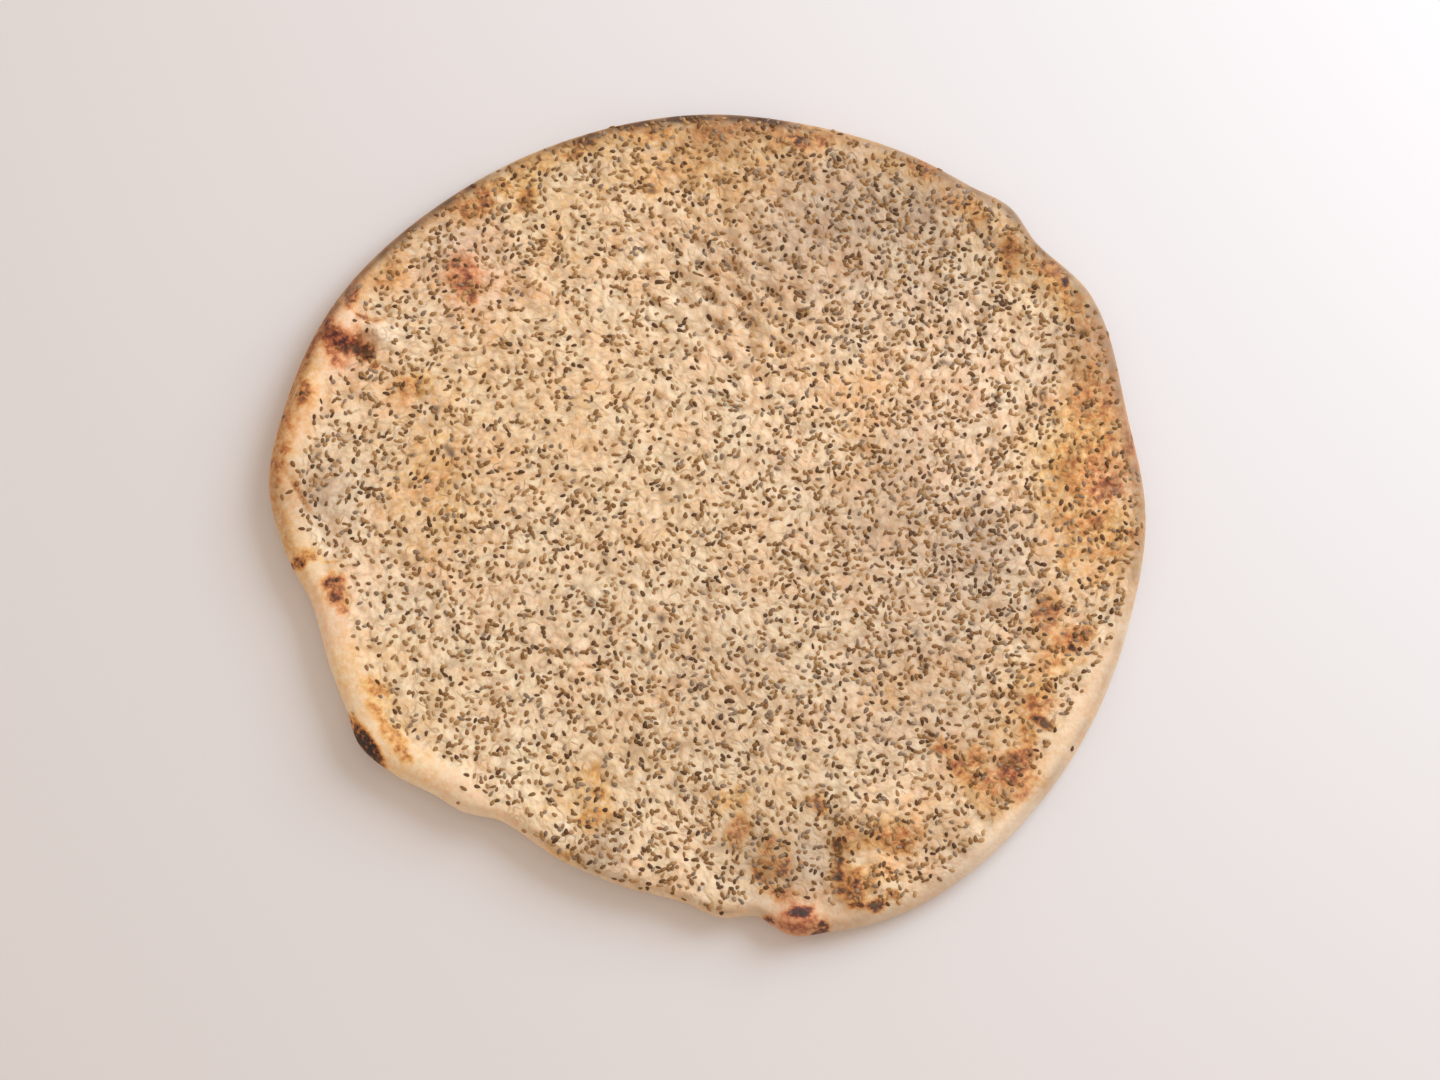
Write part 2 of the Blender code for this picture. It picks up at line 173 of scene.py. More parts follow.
# How browned the crust is: 0 pale, 0.25 gold, 0.45 orange tan, 0.62 brown, 0.80 red-brown, 1 char.
# (x, y, radius along, radius across, bearing, browning), in millimetres and degrees.
BAKE_AND_SHADE_MARKS = (
    # The blister on the upper left edge, its browned foot, darker on its lower left as partly painted
    # shade, and its neighbours.
    (-128.4, 60.5, 7, 5.4, -60, 0.58), (-123.4, 59.2, 4.6, 3.6, 10, 0.74),
    (-130.5, 68, 5, 2.4, 75, 0.58), (-117.7, 57, 2.6, 2, 0, 0.88), (-115, 52.2, 2, 1.6, 0, 0.62),
    (-127, 53.8, 4, 2.4, 0, 0.48), (-119.9, 60.8, 4.2, 1.5, 90, 0.68), (-123.6, 75, 5, 3.4, 70, 0.62),
    (-117, 68.7, 4.4, 1.1, 0, 0.72), (-136, 59, 11, 2, 70, 0.52), (-138, 40.5, 5, 3.4, 80, 0.6),
    (-144, 22, 5, 3, 90, 0.46), (-145, 16, 4, 2.6, 70, 0.5), (-139, -17.2, 4.2, 2, 0, 0.7),
    (-137, -15.8, 7, 3.2, 0, 0.32), (-133.6, -16.8, 1.8, 1.3, 0, 0.6), (-129, -16.8, 2.6, 1, 0, 0.44),
    (-138.5, 7, 6, 1.4, -60, 0.56), (-101, 45, 8, 6, 20, 0.36), (-109, 84, 5.5, 4.5, 30, 0.36),
    (-83.5, 84, 8, 5.5, 103, 0.54), (-85.5, 89, 4, 3.5, 0, 0.44), (-81, 76, 1.8, 1.8, 0, 0.84),
    # The upper left and top edge.
    (-82, 107.4, 7, 4.5, 35, 0.57), (-77.5, 112, 5, 2, -50, 0.6), (-72.5, 115, 4, 3.5, 70, 0.48),
    (-64, 110.5, 4.5, 2.6, 60, 0.54), (-45, 129, 6.5, 3.5, 25, 0.56), (-42.5, 131.6, 3, 1.6, 20, 0.82),
    (-19, 115.5, 5, 4, 0, 0.34), (-20, 135, 12, 4, 5, 0.44), (8, 136, 16, 5, 0, 0.47),
    (36, 132, 8, 4, 0, 0.48), (31.5, 131.5, 4.5, 3.2, -30, 0.8), (40, 132, 4, 3, 0, 0.5),
    (62, 124, 9, 5, -15, 0.3), (74.5, 121.5, 7, 4, -25, 0.5), (92, 107, 11, 4.5, -28, 0.4),
    (118, 86, 7, 4, -50, 0.53), (105, 93, 6, 3.6, 85, 0.52), (105.4, 87.4, 5, 3.4, 85, 0.46),
    (112, 91, 7, 4, -55, 0.38), (123.5, 81.5, 2, 1.8, -50, 0.88), (124, 77, 16, 6, -52, 0.4),
    (130, 64, 8, 5, -70, 0.24),
    # The right edge.
    (137, 36, 6, 3.5, 90, 0.52), (137, 24.5, 4.5, 3.5, 60, 0.52), (136.5, 9, 5, 7, 90, 0.64),
    (133, 8, 4, 3, 20, 0.58), (133.5, -3, 4.5, 3, 20, 0.52), (144.5, -8, 3, 2.4, 0, 0.56),
    (144.5, 24, 8, 3.4, 85, 0.54), (134, 5, 16, 9, 90, 0.38), (122, -15, 6, 4, 90, 0.42),
    (122, 25, 12, 8, 80, 0.22), (139, -10, 10, 6, 90, 0.34), (131.5, -20, 10, 7, 80, 0.2),
    # The lower right.
    (114.5, -34, 8, 5.5, 60, 0.6), (126, -41.5, 6, 4.5, 30, 0.48), (118.5, -47, 11, 8, 70, 0.34),
    (124.5, -46.5, 1.8, 1.8, 0, 0.84), (114.6, -62, 5.6, 4, -60, 0.54),
    (113.5, -71.5, 4, 2.6, -10, 0.8), (111, -67, 11, 5.6, 80, 0.42), (103.5, -86, 9, 6, 40, 0.58),
    (107, -81.5, 4.5, 3.2, 40, 0.62), (108, -75.6, 4, 3, 60, 0.46), (106, -94, 7, 4.6, 50, 0.48),
    (110, -91.5, 5, 3.4, 50, 0.42), (91, -92, 10, 6, -50, 0.42), (85.5, -87, 5.5, 3.5, -30, 0.52),
    (90.5, -84, 4.5, 3, 80, 0.52), (80, -80.5, 5, 3, -40, 0.46), (96, -98.5, 8, 5.5, 30, 0.34),
    (63, -59.5, 11, 8, 20, 0.18),
    # The three bubbles at the near edge and the burnt dots round them; the dark crescent (18.5, -124)
    # on the first bubble's lower left is painted shade.
    (22.5, -118, 7, 5, 40, 0.34), (18.5, -124, 3.6, 2, -50, 0.72), (25.5, -119.5, 3.6, 1.6, 40, 0.66),
    (20.5, -112.5, 4.5, 1.4, 40, 0.56), (10.8, -108.4, 5.6, 3, 70, 0.58),
    (37, -99.5, 3, 2.4, -60, 0.72), (62, -110.4, 12.5, 7.4, 5, 0.37), (48.5, -111, 4.5, 4.6, 0, 0.38),
    (57, -122, 8, 4, 0, 0.35), (66, -113.6, 4, 1.4, -40, 0.58), (53, -112, 3, 1.6, 30, 0.56),
    (44, -113, 2.4, 1.8, 70, 0.94), (44.8, -118.5, 2.6, 1.8, -10, 0.9),
    (43.4, -122.6, 2.8, 2.6, 0, 0.74), (50, -126, 6.5, 6, 20, 0.54), (49, -128, 5.4, 4.4, 0, 0.7),
    (49.5, -133.2, 2.6, 1.6, 0, 0.94), (56.5, -133.2, 3.8, 1.7, 5, 0.94),
    (62.5, -130, 2.2, 1.8, 0, 0.7), (44, -128, 1.8, 1.6, 0, 0.82), (31.2, -135.4, 5, 2.7, 0, 0.88),
    (31, -138.6, 9, 6, -10, 0.46), (20.6, -137.4, 1.9, 1.6, 0, 0.84), (38.4, -141.2, 1.9, 1.5, 0, 0.94),
    (9, -97, 7, 5, 0, 0.28), (24.8, -130, 6, 2.8, -10, 0.52),
    # The lower left edge and the golden places inside it.
    (-115.5, -80.5, 8.5, 3.5, -48, 1.0), (-119, -73.5, 6, 2.4, -60, 0.62),
    (-111.5, -67.5, 6, 2.4, -55, 0.42), (-106.5, -74.5, 10, 2.4, -52, 0.42),
    (-102, -81.5, 4.5, 2.6, -60, 0.5), (-112.5, -60.5, 7, 4, -10, 0.44),
    (-126.2, -26.6, 6.6, 5.2, 60, 0.6), (-127, -25.8, 4, 5.4, 0, 0.73), (-127.6, -30, 1.6, 1.5, 0, 0.8),
    (-124.5, -33, 2.2, 1.6, 0, 0.6), (-46.5, -116.5, 8, 3, -25, 0.2), (-36, -114.5, 5, 3, 0, 0.3),
    (-38.5, -104, 6, 5, 10, 0.36), (-38, -88.5, 4.5, 3, 80, 0.32), (-39, -93.5, 10, 7, 90, 0.15),
    (-35.5, -96, 3, 2.4, 0, 0.5),
)
# A strong mark is fuller and fades out more sharply than a faint one.
MARK_FULLNESS = 0.7
MARK_SHARPNESS = 0.5
# How far the marks reach round the edge, and where the underside's own pattern fades in.
BAKE_UNDER_REACH = 0.003
UNDERSIDE_START = 0.001
UNDERSIDE_FADE = 0.004
# Small scorched flecks: (x, y), in millimetres.
DARK_FLECKS = (
    (-20.5, 115), (57, 106.5), (-22, -47), (-18, -48), (-39, -30.5), (-64, -17), (-88, 22),
    (-16, -35.5), (82, 53), (121, 64.5), (128, 65), (115.5, 40.5), (99, 41), (114, 9), (112, -24),
    (71, -41), (82, -43), (73, -52), (83, -55), (-93.5, 36), (-100.5, 20.5), (-133, 20), (-113, -4),
    (-75.5, -41.5), (4, -70), (30, -78),
)
# A fleck's radius in millimetres, how dark it is and how sharp its outline.
FLECK_RADIUS = 1.4
FLECK_TOAST = 0.85
FLECK_SHARPNESS = 1.5
# Wide golden fields, as above. They add up, and one below 0 makes the crust paler.
GOLD_FIELDS = (
    (-94, 0, 17, 20, 0, 0.28), (-62, 50, 50, 38, 0, 0.07), (-98, 46, 18, 16, 0, 0.08),
    (129, 8, 30, 17, 88, 0.39), (104, -70, 34, 12, 60, 0.2), (20, 76, 30, 24, 0, 0.04),
    (-88, 82, 16, 20, 0, 0.11), (22, 58, 14, 18, 0, 0.08), (2, 116, 16, 20, 0, 0.12),
    (56, 26, 20, 12, 0, 0.1), (-114, -44, 12, 18, 0, 0.07), (-50, 92, 14, 12, 0, 0.08),
    (-96, 24, 14, 14, 0, 0.07), (-40, 122, 60, 11, 10, 0.12), (12, 124, 26, 14, 0, 0.12),
    (112, 84, 44, 10, -50, 0.11), (60, -112, 22, 16, 10, 0.12), (-108, -69, 26, 8, -52, 0.1),
    (-40, -92, 12, 20, 0, 0.05), (66, -60, 22, 18, 0, 0.06), (34, 132, 16, 5, 0, 0.2),
    (52, 46, 15, 9, 0, 0.12), (-26, 10, 26, 22, 0, -0.05), (-143, 12, 9, 16, 0, 0.1),
    (10, -58, 46, 40, 0, -0.06), (130, 46, 20, 8, 88, 0.26), (60, 0, 24, 20, 0, 0.05),
)
# Paler than the crust round it, two of them as painted light: (x, y, radius along, radius across,
# bearing, share).
PALE_AND_LIT_MARKS = (
    # The first row is a painted highlight on the upper left blister's top; (-81, -101.5) is painted
    # light on the shaded lower left rim.
    (-124, 67.5, 2.8, 4, 0, 0.16), (-112.7, 62.3, 6.5, 4.2, -35, 0.55), (-124.5, 8, 8, 12, 0, 0.4),
    (36, -116, 5.5, 9, 10, 0.5), (54, 127, 10, 4.5, -15, 0.2), (100, -114, 34, 8, 40, 0.64),
    (68, -138, 20, 4, 12, 0.6), (-85, 95, 8, 5, 20, 0.3), (-131, -42, 8, 11, 18, 0.42),
    (138, -50, 5, 16, -19, 0.3), (-42, 121, 8, 5, 10, 0.35), (119.5, -66, 4, 7, -30, 0.35),
    (-125, -9, 6, 6, 0, 0.35), (36, -93, 7, 4, 0, 0.4), (-81, -101.5, 9, 4, -32, 0.5),
    (-71, 123, 6, 3, 30, 0.4),
)
# The toasted line along the edge, kept faint on the shaded lower left as painted light: (bearing,
# share).
EDGE_TOAST = (
    (0, 0.3), (20, 0.36), (40, 0.46), (60, 0.3), (75, 0.24), (80, 0.86), (86, 0.98), (96, 1.0),
    (106, 0.84), (114, 0.42), (120, 0.34), (126, 0.72), (132, 0.86), (138, 0.66), (146, 0.56),
    (156, 0.36), (170, 0.12), (180, 0.12), (195, 0.0), (210, 0.0), (225, 0.06), (245, 0.14),
    (265, 0.14), (285, 0.16), (300, 0.05), (320, 0.22), (340, 0.24),
)
# How far inside the edge the line runs, and how wide.
EDGE_TOAST_INSET = 0.0021
EDGE_TOAST_WIDTH = 0.0018
# The line is broken: how unevenly, over this size.
TOAST_UNEVENNESS = 0.8
TOAST_BREAK_SIZE = 0.006
TOAST_DRAW = 61.0
MOST_TOAST = 0.95
# How far the rim is greyed, over this width, as painted shade strongest where it faces the lamp:
# (bearing, share).
RIM_SHADE = (
    (0, 0.52), (15, 0.54), (30, 0.5), (45, 0.6), (60, 0.46), (75, 0.25), (82, 0.48), (90, 0.32),
    (105, 0.15), (118, 0.14), (128, 0.4), (136, 0.42), (150, 0.34), (165, 0.22), (180, 0.2), (195, 0.0),
    (210, 0.0), (225, 0.0), (240, 0.0), (255, 0.1), (270, 0.04), (285, 0.25), (300, 0.32), (312, 0.05),
    (325, 0.14), (335, 0.22), (345, 0.24),
)
RIM_SHADE_WIDTH = 0.0062
MOST_SHADE_AND_DUST = 0.8
# How golden the rim is, over this width, kept low on the shaded lower left as painted light: (bearing,
# browning).
RIM_GOLD = (
    (0, 0.18), (30, 0.16), (60, 0.16), (90, 0.28), (130, 0.24), (160, 0.38), (176, 0.34), (190, 0.14),
    (200, 0.04), (225, 0.03), (250, 0.04), (285, 0.02), (320, 0.02), (345, 0.06),
)
RIM_GOLD_WIDTH = 0.0070
# Greyed by the dust of crushed seeds: (x, y, radius, share), in millimetres.
DUST_FIELDS = (
    (18, 88, 28, 0.3), (46, 108, 24, 0.4), (78, 88, 30, 0.26), (128, 58, 15, 0.38), (57, -3, 22, 0.34),
    (68, 22, 12, 0.24), (92, -16, 20, 0.34), (66, -48, 18, 0.24), (86, -70, 20, 0.26),
    (-88, 97, 16, 0.14), (26, -120, 18, 0.5), (-131, 8, 9, 0.28), (-42, 132, 22, 0.12),
    (118, -98, 12, 0.2), (-143, 10, 13, 0.16), (-36, -114, 8, 0.48), (114, -33, 8, 0.3),
    (78, -112, 12, 0.18), (59, -75, 8, 0.2), (75, 108, 12, 0.28), (107, 88, 8, 0.22), (-135, 4, 7, 0.2),
    (10, -108, 6, 0.32), (93, -4, 8, 0.22), (89, -43, 8, 0.14), (4, -60, 42, 0.17), (6, 136, 18, 0.36),
)
# Leaning to red, or to yellow where the share is below 0: (x, y, radius, share), in millimetres.
RED_FIELDS = (
    (-83, 86, 14, 0.8), (-124, 61, 10, 0.8), (29, -137, 11, 0.9), (-126, -28, 12, 0.45),
    (102, -87, 12, 0.2), (105, 92, 14, -0.4), (115, -38, 14, 0.1), (-138, -15, 8, -0.9),
    (92, 26, 40, 0.26), (137, 9, 9, 0.8), (118, 20, 15, -0.6), (70, 110, 22, -0.35), (118, 86, 9, -0.5),
    (-126, 53, 6, 0.5), (141, -4, 8, -0.5), (4, 138, 15, -0.5), (-54, 127, 24, -0.8),
    (-40, 20, 46, -0.25), (-38, -94, 20, -0.8), (-108, -70, 22, -0.9), (24, -112, 20, -0.8),
    (0, -50, 40, -0.15), (124, 80, 20, -0.3),
)

# -------- seeds

# The width of the rim that holds no seeds: (bearing, width).
BARE_RIM = (
    (0, 0.0022), (30, 0.0030), (60, 0.0028), (90, 0.0014), (120, 0.0022), (140, 0.0034), (150, 0.0085),
    (160, 0.0120), (170, 0.0110), (185, 0.0100), (205, 0.0110), (220, 0.0128), (230, 0.0100),
    (236, 0.0036), (242, 0.0018), (252, 0.0010), (273, 0.0014), (281, 0.0110), (286, 0.0105),
    (291, 0.0052), (303, 0.0038), (312, 0.0062), (320, 0.0086), (332, 0.0084), (345, 0.0044),
)
# How softly it begins, in the relief and for the seeds, and the share that strays onto it.
SEEDED_FADE = 0.0030
SEED_FADE = 0.0024
STRAY_SHARE = 0.03
# No seed lies closer to the edge than this.
SEED_EDGE_GAP = 0.0008
# Seeds lie no closer than this, from middle to middle.
SEED_SPACING = 0.00120
# Seeds tried for each square metre, how far out, and the thickest that they lie against that.
SEED_DENSITY = 0.180e6
SCATTER_REACH = 0.158
THICKEST_SHARE = 3.2
# Where the seeds lie thicker or thinner: (x, y, radius, share more or less), in millimetres.
SEED_DRIFTS = (
    (55, 114, 21, 0.8), (14, 100, 18, 0.45), (10, 134, 14, 0.6), (76, 88, 30, 0.6), (30, 84, 30, 0.4),
    (62, 24, 20, 0.7), (88, -4, 26, 0.7), (60, -28, 24, 0.6), (92, -34, 16, 0.4), (28, -46, 18, 0.22),
    (-135.5, 9, 8, 1.0), (-128, 42, 10, 0.3), (18, -116, 14, 0.35), (-20, -120, 24, 0.05),
    (-76, 47, 38, -0.3), (-86, 96, 24, 0.22), (-100, -56, 26, -0.1), (-28, 14, 30, -0.22),
    (-40, -86, 13, -0.6), (-36, -114, 8, 1.0), (-121, -27, 13, -0.55), (-115, -46, 13, -0.45),
    (28, -90, 9, -0.25), (-128, -10, 14, -0.2), (-110, 20, 22, -0.22), (-88, 26, 16, -0.14),
    (-86, 58, 12, -0.18), (84, 49, 11, 0.65), (128, 8, 16, -0.4), (10, -107, 6, 0.65),
    (-13, -105, 8, 0.6), (59, -74.5, 8, 0.85), (89, -43.5, 9, 0.65), (80, -112, 12, 0.14),
    (38, -30, 12, 0.35), (-108, 74, 9, 0.5), (32, 14, 14, 0.42), (22, -68, 12, 0.4),
    (-18, -78, 10, 0.14), (-72, -72, 12, -0.3), (34, -92, 7, -0.45), (-28, -105, 7, -0.4),
    (-89, 14, 6, -0.35), (-19, 116, 7, 1.0), (58, 78, 9, 0.75), (121, 16, 7, -0.35), (122, -3, 7, -0.4),
    (74, 110, 11, 0.35), (-4, 91, 7, 0.45), (93, -4, 8, 0.4), (-42, 121, 7, -0.35), (-72, -69, 9, -0.2),
    (-88, 57, 9, -0.25), (-40, 110, 10, -0.25), (-20, -72, 10, 0.28),
)
# Spots without seeds: (x, y, radius), in millimetres.
BARE_SPOTS = (
    (-113, 62, 6), (-126, 67, 6), (-122, 60, 6), (28, -138, 8), (50, -138, 6), (-122, 76, 4),
    (-39, -84, 4.5), (-124, -20, 3),
)
BARE_SPOT_FULLNESS = 1.2
# Chance clumps of seeds: (size, share more or less).
SEED_CLUMPS = ((0.0110, 0.88), (0.0036, 1.70))
SEED_CLUMP_DRAW = 5.1
SEED_DRAW = 7
# How much thicker the seeds lie in creases and finger marks than beside them.
CREASE_PULL = (0.42, 1.50)
FURROW_PULL = (0.10, 3.10)
# A seed's length, width and height, how far each varies, and how far a seed tips over.
SEED_SIZE = (0.00248, 0.00138, 0.00092)
SEED_SPREAD = 0.22
SEED_TILT = 0.16
SEED_SIDES = 10
# How much thicker one end of a seed is, and how deep a seed lies in the crust, from and to.
SEED_TAPER = 0.34
SEED_STAND = (-0.24, 0.12)
# In a finger mark deeper than this share, black seeds prevail and the seeds lie along it.
IN_FURROW = 0.30
BLACK_IN_FURROW = 3
FURROW_LIE_SPREAD = 0.5
# The seeds are dropped onto the crust from this height.
DROP_HEIGHT = 0.05
# (height, width) of the rings of a seed's form, from the top down, against its half height.
SEED_RINGS = ((0.66, 0.74), (-0.25, 0.98))
# Kind: (name, share of the seeds in the warm part, share in the cool part).
SEED_KINDS = (
    ("seeds_black", 0.14, 0.16),
    ("seeds_umber", 0.36, 0.26),
    ("seeds_brown", 0.38, 0.22),
    ("seeds_slate", 0.12, 0.36),
)
# Where slate seeds prevail: (x, y, radius), in millimetres.
COOL_FIELDS = (
    (62, 112, 34), (-128, 8, 14), (61, -72, 24), (95, -14, 36), (28, -114, 22), (40, 64, 36),
    (10, -60, 34),
)


# ======== form


def around(bearing, table):
    """The value at these bearings, in degrees, on a smooth closed curve through the table's points."""
    at = np.array([row[0] for row in table], float)
    value = np.array([row[1] for row in table], float)
    count = len(table)
    bearing = np.asarray(bearing, float) % 360
    after = np.searchsorted(at, bearing, side="right")
    a, b, c, d = (at[i % count] + 360 * (i // count) for i in (after - 2, after - 1, after, after + 1))
    p, q, r, s = (value[i % count] for i in (after - 2, after - 1, after, after + 1))
    span = c - b
    slope_in = (r - p) / (c - a) * span
    slope_out = (s - q) / (d - b) * span
    u = (bearing - b) / span
    return (
        (2 * u**3 - 3 * u**2 + 1) * q
        + (u**3 - 2 * u**2 + u) * slope_in
        + (3 * u**2 - 2 * u**3) * r
        + (u**3 - u**2) * slope_out
    )


def bell(distance):
    """1 in the middle, falling smoothly to about 0 two widths out."""
    return np.exp(-(distance**2))


def dome(distance):
    """1 in the middle, falling like a soap bubble to 0 one radius out."""
    return np.maximum(1 - distance**2, 0.0) ** DOME_FALL


def quarter_round(inset, width):
    """The rise of a rounded edge from 0 at the rim to 1 at this width inside it."""
    share = np.clip(inset / width, 0.0, 1.0)
    return np.sqrt(share * (2 - share))


def turned(x, y, degrees):
    """The points in axes turned by these degrees: how far along, how far across."""
    c, s = math.cos(math.radians(degrees)), math.sin(math.radians(degrees))
    return x * c + y * s, y * c - x * s


def oval(x, y, at_x, at_y, along, across, bearing):
    """How far the points are from the middle of an oval, where 1 is its outline."""
    u, v = turned(x - at_x, y - at_y, bearing)
    return np.hypot(u / along, v / across)


def field(x, y, at_x, at_y, radius):
    """1 at a place in millimetres, falling smoothly to about 0 two radii out."""
    return bell(np.hypot(x * 1000 - at_x, y * 1000 - at_y) / radius)


def fields(x, y, table):
    """The sum of the table's places, each with its own share."""
    return sum(share * field(x, y, *place) for *place, share in table)


def speckle(x, y, size, draw):
    """Smooth noise of this size, from about -0.9 to 0.9 and mostly within 0.3 of 0."""
    return np.array([noise.noise(Vector((a, b, draw))) for a, b in zip(x / size, y / size)])


def bearing_and_inset(x, y):
    """Each point's bearing in degrees and its distance inside the edge."""
    bearing = np.degrees(np.arctan2(y, x))
    return bearing, around(bearing, OUTLINE) - np.hypot(x, y)


def seeded(x, y):
    """1 over the seeded middle, falling to 0 on the bare rim."""
    bearing, inset = bearing_and_inset(x, y)
    return np.clip((inset - around(bearing, BARE_RIM)) / SEEDED_FADE + 0.5, 0, 1)


def wandered(x, y):
    """The points shifted by a slow random drift, so that round marks get uneven outlines."""
    drift_x, drift_y = (WANDER * speckle(x, y, WANDER_SIZE, draw) for draw in WANDER_DRAWS)
    return x + drift_x, y + drift_y


def bubbles():
    """Small bubbles over the crust: (x, y, radius, height)."""
    draw = random.Random(BUBBLE_DRAW)
    made = []
    for _ in range(BUBBLES):
        bearing = draw.uniform(0, 360)
        reach = float(around(bearing, OUTLINE)) * draw.uniform(*BUBBLE_REACH) ** BUBBLE_CROWDING
        x = reach * math.cos(math.radians(bearing))
        y = reach * math.sin(math.radians(bearing))
        made.append((x, y, draw.uniform(*BUBBLE_RADIUS), draw.uniform(*BUBBLE_HEIGHT)))
    return made


def furrows(x, y):
    """(depth, depth against the deepest) of the rows of finger marks at each point."""
    deep, share = np.zeros_like(x), np.zeros_like(x)
    for at_x, at_y, along, across, bearing, spacing, depth in FINGER_ROWS:
        u, v = turned(x - at_x, y - at_y, bearing)
        window = bell(np.hypot(u / along, v / across))
        row = np.floor(v / spacing)
        furrow = 0.5 - 0.5 * np.cos(2 * math.pi * v / spacing)
        finger = 0.5 + 0.5 * np.cos(2 * math.pi * (u / FURROW_LENGTH + 0.5 * (row % 2)))
        deep += depth * window * furrow * finger
        share = np.maximum(share, window * furrow * finger)
    return deep, share


def creases(x, y):
    """1 along a net of winding creases, falling to 0 between them."""
    net = np.zeros_like(x)
    for size, share, draw in CREASES:
        line = np.abs(speckle(x, y, size, draw))
        net = np.maximum(net, share * np.maximum(1 - CREASE_SHARPNESS * line, 0.0))
    return net


def crust_relief(x, y):
    """Blisters, hollows, finger marks, lumps, creases and small bubbles."""
    total = np.zeros_like(x)
    for step, (size, height) in enumerate(SWELLS):
        total += height * speckle(x, y, size, SWELL_DRAW * step)
    wx, wy = wandered(x, y)
    for *place, height, bearing in BLISTERS:
        total += height * dome(oval(wx, wy, *place, bearing))
    for *place, depth, bearing in HOLLOWS:
        total -= depth * bell(oval(wx, wy, *place, bearing))
    total -= furrows(x, y)[0]
    fine = -CREASE_DEPTH * creases(x, y)
    for step, (size, height) in enumerate(LUMPS):
        fine += height * speckle(x, y, size, LUMP_DRAW * (step + 1))
    for at_x, at_y, radius, height in bubbles():
        fine += height * dome(np.hypot(wx - at_x, wy - at_y) / radius)
    return total + fine * (RIM_SMOOTHNESS + (1 - RIM_SMOOTHNESS) * seeded(x, y))


def top_height(x, y):
    """The crust's height over the points, from the middle out to the edge's outermost line."""
    bearing = np.degrees(np.arctan2(y, x))
    reach = around(bearing, OUTLINE)
    share = np.minimum(np.hypot(x, y) / reach, 1.0)
    inset = reach * (1 - share)
    rim = around(bearing, RIM_RISE)
    lift = around(bearing, EDGE_LIFT)
    crust = CRUMB_THICKNESS + MIDDLE_DOME * (1 - share**2)
    crust += lift * bell(inset / LIFT_REACH)
    crust += rim * bell((inset - RIM_INSET) / RIM_HALF_WIDTH)
    crust -= GROOVE_SHARE * rim * bell((inset - GROOVE_INSET) / GROOVE_HALF_WIDTH)
    crust += crust_relief(x, y)
    edge = lift + EDGE_LINE_HEIGHT
    return edge + (crust - edge) * quarter_round(inset, around(bearing, EDGE_ROUNDING))


def underside_height(x, y):
    """The underside: flat on the surface in the middle, curling up towards the edge."""
    bearing, inset = bearing_and_inset(x, y)
    inset = np.maximum(inset, 0.0)
    lift = around(bearing, EDGE_LIFT)
    under = lift * np.maximum(1 - inset / LIFT_REACH, 0.0) ** 2
    edge = lift + EDGE_LINE_HEIGHT
    return edge - (edge - under) * quarter_round(inset, UNDER_ROUNDING)


# ======== crust mesh


def points_at(share, table):
    """How many points a ring at this share of the bread has."""
    return next(points for limit, points in table if share <= limit)


def ring_plan():
    """(share of the reach, on top, points) of every ring, from the middle over the edge to below."""
    zone = EDGE_ZONE / RING_REACH
    inner = round((1 - zone) * RING_REACH / RING_STEP)
    rings = []
    for step in range(1, inner + 1):
        share = (1 - zone) * step / inner
        rings.append((share, True, points_at(share, RING_POINTS)))
    for step in range(1, EDGE_RINGS + 1):
        share = 1 - zone + zone * math.sin(step / EDGE_RINGS * math.pi / 2)
        rings.append((share, True, points_at(share, RING_POINTS)))
    for step in range(1, EDGE_RINGS // 2 + 1):
        share = 1 - zone * (1 - math.cos(step / (EDGE_RINGS // 2) * math.pi / 2))
        rings.append((share, False, points_at(share, UNDER_POINTS)))
    inner = round((1 - zone) * RING_REACH / UNDER_STEP)
    for step in range(inner - 1, 0, -1):
        share = (1 - zone) * step / inner
        rings.append((share, False, points_at(share, UNDER_POINTS)))
    return rings


def bridge(faces, coarse, fine):
    """Faces between two rings of point numbers, of which the second has as many or twice as many."""
    count = len(coarse)
    if len(fine) == count:
        for i in range(count):
            j = (i + 1) % count
            faces.append((coarse[i], fine[i], fine[j], coarse[j]))
        return
    for i in range(count):
        a, b, c = fine[2 * i], fine[2 * i + 1], fine[(2 * i + 2) % len(fine)]
        j = (i + 1) % count
        faces.append((coarse[i], a, b))
        faces.append((coarse[i], b, coarse[j]))
        faces.append((coarse[j], b, c))


def crust_mesh():
    """One closed mesh: rings of points over the top, round the edge and back under."""
    xs, ys, tops = [0.0], [0.0], [True]
    rings = []
    for share, on_top, points in ring_plan():
        bearing = np.arange(points) * (360 / points)
        reach = share * around(bearing, OUTLINE)
        first = len(xs)
        xs.extend(reach * np.cos(np.radians(bearing)))
        ys.extend(reach * np.sin(np.radians(bearing)))
        tops.extend([on_top] * points)
        rings.append(list(range(first, first + points)))
    xs.append(0.0)
    ys.append(0.0)
    tops.append(False)
    x, y, on_top = np.array(xs), np.array(ys), np.array(tops)
    z = np.where(on_top, top_height(x, y), underside_height(x, y))
    faces = []
    first, last = rings[0], rings[-1]
    for i, point in enumerate(first):
        faces.append((0, point, first[(i + 1) % len(first)]))
    for inner, outer in zip(rings, rings[1:]):
        if len(outer) >= len(inner):
            bridge(faces, inner, outer)
        else:
            inward = []
            bridge(inward, outer, inner)
            faces.extend(tuple(reversed(face)) for face in inward)
    bottom = len(x) - 1
    for i, point in enumerate(last):
        faces.append((bottom, last[(i + 1) % len(last)], point))
    mesh = bpy.data.meshes.new("crust")
    mesh.from_pydata(np.column_stack([x, y, z]).tolist(), [], faces)
    mesh.validate()
    mesh.shade_smooth()
    return mesh, x, y, on_top


def marks(x, y, table):
    """The strongest of the marks over each point."""
    strongest = np.zeros_like(x)
    for *place, strength in table:
        fade = bell(oval(x, y, *place) ** (1 + MARK_SHARPNESS * strength))
        fade = (1 + MARK_FULLNESS * strength**2) * fade
        strongest = np.maximum(strongest, strength * np.minimum(fade, 1.0))
    return strongest


